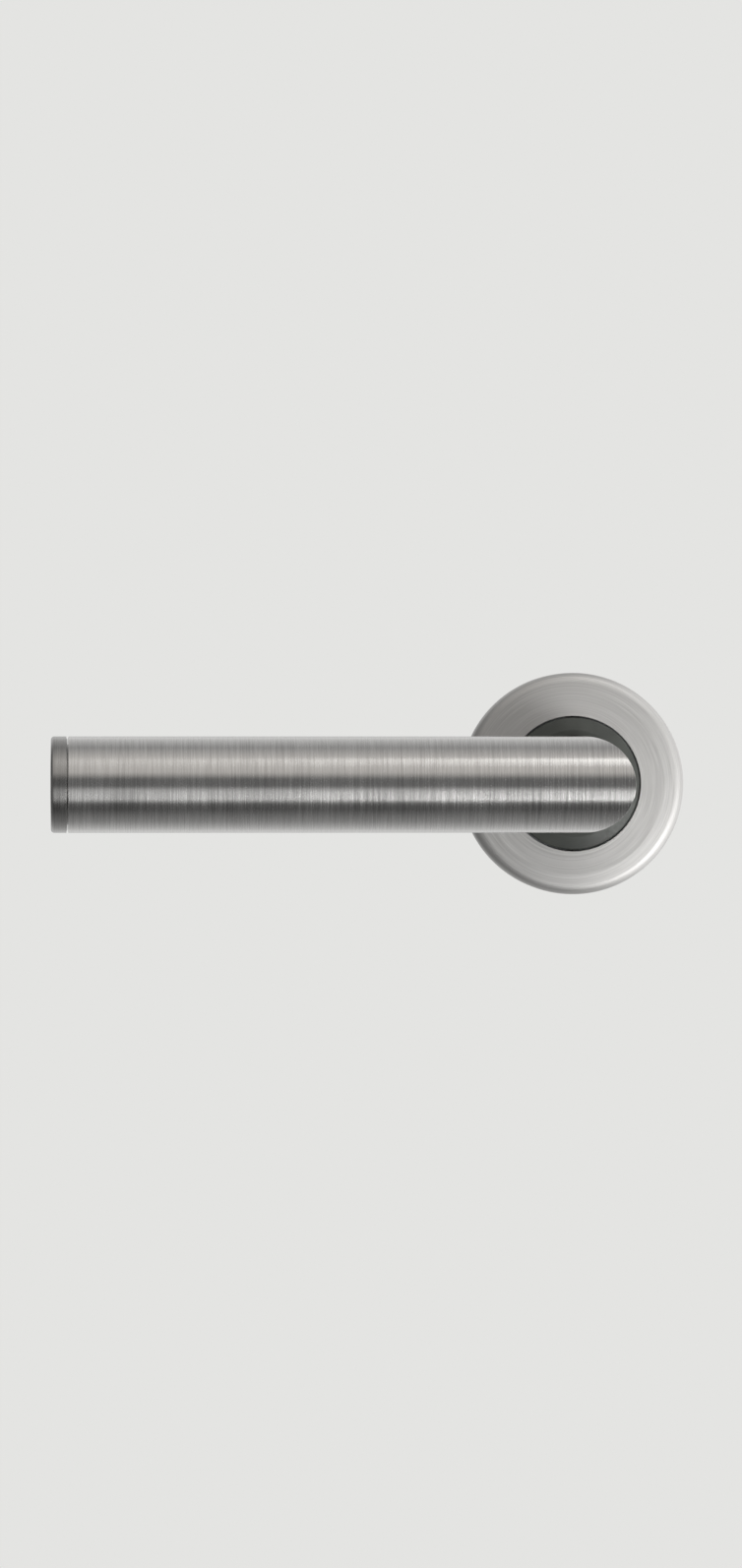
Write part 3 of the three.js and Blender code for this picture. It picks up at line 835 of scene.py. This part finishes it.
base = {
    "frontChamfer": 1.0 * mm,
    "groove": (2.6 * mm, 0.65 * mm, 1.0 * mm),    # place, half width and depth of the snap ring's groove
    "recess": 16.2 * mm,
    "chamber": 13.0 * mm,
    "wall": 1.6 * mm,
    "pocket": (17.8 * mm, 22.4 * mm, 50, 5.5 * mm),    # radii, half angle, depth
    "ribs": 3,
    "ribWidth": 4,                                      # degrees
    "ribDrop": 1.2 * mm,                                # the ribs dip between the pocket's walls
    "ribDip": 0.5 * mm,
    "ribInset": 2,                                      # degrees
    "ejector": (1.2 * mm, 0.15 * mm, 20.0 * mm, 27),    # radius, depth, circle, angle from the bolt
    "boltHole": 2.25 * mm,
    "rivetHole": 1.1 * mm,
    "pinHole": 1.2 * mm,
    "headPocket": 3.8 * mm,
    "headDepth": 2.8 * mm,
}


def makeBase():
    low, high = lowOf("rose_base"), highOf("rose_base")
    radius, front = high.z, low.y
    plate = spanOf("rear_bush").y
    place, half, depth = base["groove"]
    hole = collar["spigot"] + tube["slip"]
    bm = lathe([
        (hole, front, 0.2 * mm),
        (radius, front, base["frontChamfer"]),
        (radius, -place - half), (radius - depth, -place - half),
        (radius - depth, -place + half), (radius, -place + half),
        (radius, 0, 0.4 * mm),
        (base["recess"], 0, 0.3 * mm), (base["recess"], -plate),
        (base["chamber"], -plate, 0.2 * mm), (base["chamber"], front + base["wall"]),
        (hole, front + base["wall"], 0.2 * mm),
    ], 144, 3)
    cuts = []
    inner, outer, halfAngle, pocketDepth = base["pocket"]
    cells = base["ribs"] + 1
    cell = (2 * halfAngle - base["ribs"] * base["ribWidth"]) / cells
    for middle in (0, 180):
        for i in range(cells):
            start = middle - halfAngle + i * (cell + base["ribWidth"])
            pocket = sector(inner, outer, start, start + cell, -pocketDepth, pocketDepth, 12)
            cuts.append(roundLongEdges(pocket, 0.5 * mm))
        dip = base["ribDip"]
        first, last = middle - halfAngle + base["ribInset"], middle + halfAngle - base["ribInset"]
        cuts.append(sector(inner + dip, outer - dip, first, last, -base["ribDrop"], pocketDepth))
    for node in ("fixing_bolt_upper", "fixing_bolt_lower"):
        z = middleOf(node).z
        seat = front + base["headDepth"]
        hole = lathe([
            (0, 3 * front), (base["headPocket"], 3 * front), (base["headPocket"], seat),
            (base["boltHole"], seat), (base["boltHole"], 10 * mm), (0, 10 * mm)], 40)
        cuts.append(moved(hole, (0, 0, z)))
        markRadius, markDepth, markCircle, markAngle = base["ejector"]
        for side in (-1, 1):
            spot = onCircle(markCircle, 90 + side * markAngle)
            cuts.append(pin(markRadius, -markDepth, 2 * mm, spot.x, math.copysign(spot.z, z)))
    for node in rivetNodes:
        spot = middleOf(node)
        cuts.append(pin(base["rivetHole"], lowOf(node).y - 0.2 * mm, 10 * mm, spot.x, spot.z, segments=24))
    for node in pinNodes:
        spot = middleOf(node)
        floor = front + base["wall"] + 0.2 * mm
        cuts.append(pin(base["pinHole"], 3 * front, floor, spot.x, spot.z, segments=24))
    addPiece("rose_base_cast", cut(bm, cuts), "castZinc", "cast_zinc", "rose", "rose_base")


backPlate = {"rivetHole": 1.0 * mm, "headSink": 0.85 * mm, "headRoom": 0.2 * mm}


def makeBackPlate():
    low, high = lowOf("back_plate"), highOf("back_plate")
    bm = lathe([
        (highOf("rear_bush").z + tube["slip"], low.y, 0.1 * mm),
        (high.z, low.y, 0.1 * mm),
        (high.z, high.y, 0.15 * mm),
        (highOf("rear_bush").z + tube["slip"], high.y, 0.25 * mm),
    ], 128)
    cuts = []
    for node in rivetNodes:
        spot = middleOf(node)
        head = spanOf(node).x / 2 + backPlate["headRoom"]
        shank, sink = backPlate["rivetHole"], -backPlate["headSink"]
        hole = lathe([
            (0, 4 * low.y), (shank, 4 * low.y), (shank, sink), (head, sink), (head, 5 * mm), (0, 5 * mm)], 32)
        cuts.append(moved(hole, (spot.x, 0, spot.z)))
    addPiece(
        "back_plate_stamped", cut(bm, cuts), "plateZinc", "zinc_plate", "rose", "back_plate", edgeMm=0.08)


def makeRearBush():
    low, high = lowOf("rear_bush"), highOf("rear_bush")
    bm = ring(hub["journal"] + 0.25 * mm, high.z, low.y, high.y, 0.25 * mm)
    addPiece("rear_bush_moulded", bm, "paleAcetal", "pale_nylon", "rose", "rear_bush")


rivet = {"shank": 0.8 * mm, "head": 0.7 * mm}


def makeRivets():
    for node in rivetNodes:
        low, high, spot = lowOf(node), highOf(node), middleOf(node)
        radius = (high.x - low.x) / 2
        bm = lathe([
            (0, low.y), (rivet["shank"], low.y, 0.2 * mm), (rivet["shank"], high.y - rivet["head"]),
            (radius, high.y - rivet["head"], 0.1 * mm), (radius, high.y - 0.3 * mm, 0.2 * mm),
            (radius * 0.55, high.y, 0.4 * mm), (0, high.y),
        ], 32)
        moved(bm, (spot.x, 0, spot.z))
        addPiece(node + "_turned", bm, "turnedSteel", "bright_steel", "rose", node)


def makePins():
    for node in pinNodes:
        low, high, spot = lowOf(node), highOf(node), middleOf(node)
        bm = pin((high.x - low.x) / 2, low.y, high.y, spot.x, spot.z, 0.25 * mm)
        addPiece(node + "_turned", bm, "turnedSteel", "bright_steel", "rose", node)


spring = {
    "wire": 0.9 * mm,
    "radius": 9.7 * mm,
    "bend": 1.0 * mm,
    "legEnd": 12.5 * mm,
    "start": 254.9,            # degrees, where the coil leaves its fixed leg
    "turn": 921.4,             # degrees, two and a half turns to the moving leg
}


def makeSpring():
    half = spring["wire"] / 2
    back = highOf("return_spring").y - half
    front = lowOf("return_spring").y + half
    bendAt = spring["radius"] + spring["bend"]
    start, end = spring["start"], spring["start"] + spring["turn"]
    outward = onCircle(1, start)
    ahead = onCircle(1, start + 90)
    tip = outward * spring["legEnd"] - ahead * spring["bend"] + axisY * back
    bm, face = wireStart(tip, -outward, half)
    face = wireLine(bm, face, outward * (bendAt - spring["legEnd"]))
    face = wireTurn(bm, face, outward * bendAt + axisY * back, axisY, 90, 10)
    face = wireTurn(bm, face, origin, -axisY, spring["turn"], 130, axisY * (front - back))
    outward = onCircle(1, end)
    face = wireTurn(bm, face, outward * bendAt + axisY * front, axisY, 90, 10)
    wireLine(bm, face, outward * (spring["legEnd"] - bendAt))
    piece = addPiece("return_spring_wound", closeUp(bm), "springSteel", "spring_steel", None, "return_spring")
    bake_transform(piece)


snapRing = {"wire": 0.9 * mm, "opening": 20}


def makeSnapRing():
    half = snapRing["wire"] / 2
    radius = -lowOf("cover_snap_ring").z - half
    start = 90 + snapRing["opening"] / 2
    point = onCircle(radius, start, middleOf("cover_snap_ring").y)
    bm, face = wireStart(point, onCircle(1, start + 90), half)
    wireTurn(bm, face, origin, -axisY, 360 - snapRing["opening"], 120)
    addPiece("cover_snap_ring_bent", closeUp(bm), "springSteel", "spring_steel", "rose", "cover_snap_ring")


bolt = {
    "head": 2.4 * mm,
    "major": 1.95 * mm,              # an M4 thread's crest, a little under size
    "slot": (1.0 * mm, 1.1 * mm),    # width and depth
    "pitch": 0.7 * mm,
    "threadDepth": 0.36 * mm,
    "threadFrom": 2.0 * mm,          # door face to the first thread
}


def makeBolt(node):
    low, high, spot = lowOf(node), highOf(node), middleOf(node)
    headRadius = (high.x - low.x) / 2
    major = bolt["major"]
    minor = major - bolt["threadDepth"]
    seat = low.y + bolt["head"]
    bm = lathe([
        (0, low.y), (headRadius * 0.5, low.y, 2 * mm), (headRadius, low.y + 0.5 * mm, 0.4 * mm),
        (headRadius, seat, 0.15 * mm), (minor * 1.02, seat), (minor * 1.02, bolt["threadFrom"] + 0.4 * mm),
        (0, bolt["threadFrom"] + 0.4 * mm),
    ], 48)
    thread = threadedRod(major, minor, bolt["pitch"], bolt["threadFrom"], high.y)
    slotWidth, slotDepth = bolt["slot"]
    slot = bar(3 * headRadius, 2 * slotDepth, slotWidth, (0, low.y, 0))
    bm = cut(join(bm, [thread]), [slot])
    addPiece(node + "_m4", moved(bm, (0, 0, spot.z)), "barZinc", "zinc_plate", "rose", node)


sleeve = {
    "bore": 2.05 * mm,
    "boreEnd": 43.0 * mm,
    "head": 2.4 * mm,
    "radius": 3.5 * mm,
    "slot": (1.2 * mm, 1.3 * mm),
}


def makeSleeve(node):
    low, high, spot = lowOf(node), highOf(node), middleOf(node)
    headRadius = (high.x - low.x) / 2
    seat = high.y - sleeve["head"]
    bm = lathe([
        (0, sleeve["boreEnd"] + 0.8 * mm), (sleeve["bore"], sleeve["boreEnd"]),
        (sleeve["bore"], low.y, 0.35 * mm), (sleeve["radius"], low.y, 0.5 * mm),
        (sleeve["radius"], seat, 0.2 * mm), (headRadius, seat, 0.2 * mm),
        (headRadius, high.y - 0.6 * mm, 0.5 * mm), (headRadius * 0.5, high.y, 2 * mm), (0, high.y),
    ], 64)
    slotWidth, slotDepth = sleeve["slot"]
    slots = [
        bar(3 * headRadius, 2 * slotDepth, slotWidth, (0, high.y, 0)),
        bar(slotWidth, 2 * slotDepth, headRadius, (0, high.y, 0)),
    ]
    bm = moved(cut(bm, slots), (0, 0, spot.z))
    addPiece(node + "_turned", bm, "barZinc", "zinc_plate", "rose", node, edgeMm=0.06)


makeCover()
makeCollar()
makeBase()
makeBackPlate()
makeRearBush()
makeRivets()
makePins()
makeSpring()
makeSnapRing()
for side in ("upper", "lower"):
    makeBolt("fixing_bolt_" + side)
    makeSleeve("bolt_sleeve_" + side)
print("rose made")


# Studio

studio = {
    "backdrop": "#E4E4E2",
    "floorDrop": 1.05,          # a lever handle sits about this high
    "floorSize": 24.0,
    "lens": 165,
    "sensor": 36,
    "shape": 754 / 1594,        # the picture's width over its height
    "fill": 0.86,               # share of the picture's width that the handle takes
    "azimuth": -2.0,
    "elevation": 0.3,
}
roomBands = [                   # elevation round the handle from in front, brightness, colour
    (-180, 0.45, "#FFFFFF"),
    (-150, 0.80, "#FFFFFF"),    # wall behind, low
    (-100, 0.30, "#FFFFFF"),
    (-62, 0.08, "#FFFFFF"),     # dark screen below
    (-46, 0.08, "#FFFFFF"),
    (-34, 0.40, "#FFFFFF"),     # low fill from in front
    (-12, 0.40, "#FFFFFF"),
    (-4, 0.13, "#FFFFFF"),      # dark screen level with the handle
    (14, 0.13, "#FFFFFF"),
    (30, 0.60, "#FFFBF7"),      # warm soft box above
    (60, 0.70, "#FFFBF7"),
    (100, 0.35, "#FFFFFF"),
    (150, 0.80, "#FFFFFF"),     # wall behind, high
    (180, 0.45, "#FFFFFF"),
]
roomSides = [                   # sideways, from and to, and brightness: dark to the left, bright to the right
    (-0.38, -0.80, 0.17),
    (0.26, 0.66, 1.05),
]

lamps = [                       # name, place, size and power
    ("keyBox", (0.24, -0.42, 0.60), (0.25, 0.25), 0.45),
    ("sideBox", (0.56, -0.80, -0.46), (0.60, 0.45), 5.0),
]


def makeWorld():
    # a white room with dark screens level with the handle and below it, darker to the left
    world = bpy.data.worlds.new("studioWorld")
    bpy.context.scene.world = world
    world.use_nodes = True
    world.node_tree.nodes.clear()
    direction = addNode(world, "ShaderNodeTexCoord").outputs["Generated"]
    split = addNode(world, "ShaderNodeSeparateXYZ", None, {0: direction})
    forward = addNode(world, "ShaderNodeMath", {"operation": "MULTIPLY"}, {0: split.outputs["Y"], 1: -1.0})
    angle = addNode(world, "ShaderNodeMath", {"operation": "ARCTAN2"}, {
        0: split.outputs["Z"], 1: forward.outputs[0]})
    share = spread(world, angle.outputs[0], 0, 1, -math.pi, math.pi)
    ramp = addNode(world, "ShaderNodeValToRGB", None, {"Fac": share})
    elements = ramp.color_ramp.elements
    while len(elements) < len(roomBands):
        elements.new(0.5)
    for element, (degrees, level, tint) in zip(elements, roomBands):
        element.position = (degrees + 180) / 360
        element.color = (*[level * part for part in hexColour(tint)[:3]], 1)
    room = ramp.outputs["Color"]
    for near, far, level in roomSides:
        factor = spread(world, split.outputs["X"], 0, 1, near, far)
        mix = addNode(world, "ShaderNodeMix", {"data_type": "RGBA"}, {"Factor": factor})
        world.node_tree.links.new(room, mix.inputs["A"])
        mix.inputs["B"].default_value = (level, level, level, 1)
        room = mix.outputs["Result"]
    light = addNode(world, "ShaderNodeBackground", None, {"Color": room})
    seen = addNode(world, "ShaderNodeBackground", None, {"Color": hexColour(studio["backdrop"])})
    path = addNode(world, "ShaderNodeLightPath")
    both = addNode(world, "ShaderNodeMixShader", None, {
        0: path.outputs["Is Camera Ray"], 1: light.outputs[0], 2: seen.outputs[0]})
    addNode(world, "ShaderNodeOutputWorld", None, {"Surface": both.outputs[0]})


def makeFloor():
    bm = bmesh.new()
    bmesh.ops.create_grid(bm, x_segments=1, y_segments=1, size=studio["floorSize"] / 2)
    floor = meshObject("studio_floor", moved(bm, (0, 0, -studio["floorDrop"])))
    material = newMaterial("palePaintedFloor")
    floor.data.materials.append(outputTo(material, addNode(
        material, "ShaderNodeEmission", None, {"Color": hexColour(studio["backdrop"])})))
    floor.visible_glossy = False
    floor.visible_diffuse = False


def softBox(name, place, size, power):
    light = bpy.data.lights.new(name, "AREA")
    light.shape = "RECTANGLE"
    light.size, light.size_y = size
    light.energy = power
    box = bpy.data.objects.new(name, light)
    bpy.context.scene.collection.objects.link(box)
    box.location = place
    box.rotation_mode = "QUATERNION"
    box.rotation_quaternion = (gripCentre / 2 - Vector(place)).to_track_quat("-Z", "Y")
    box.visible_camera = False


def makeCamera():
    low, high = cadBox
    camera = bpy.data.objects.new("camera", bpy.data.cameras.new("camera"))
    bpy.context.scene.collection.objects.link(camera)
    azimuth, elevation = math.radians(studio["azimuth"]), math.radians(studio["elevation"])
    level = math.cos(elevation)
    back = Vector((math.sin(azimuth) * level, -math.cos(azimuth) * level, math.sin(elevation)))
    camera.data.lens = studio["lens"]
    camera.data.sensor_width = studio["sensor"]
    shortSide = studio["sensor"] * studio["shape"]
    distance = (high[0] - low[0]) / studio["fill"] * studio["lens"] / shortSide
    camera.location = Vector(((low[0] + high[0]) / 2, gripY / 2, 0)) + back * distance
    camera.rotation_mode = "QUATERNION"
    camera.rotation_quaternion = (-back).to_track_quat("-Z", "Y")
    camera.data.clip_start, camera.data.clip_end = 0.1, 60
    bpy.context.scene.camera = camera


makeWorld()
makeFloor()
for lamp in lamps:
    softBox(*lamp)
makeCamera()
bpy.context.scene.view_settings.view_transform = "Standard"
print("studio made")
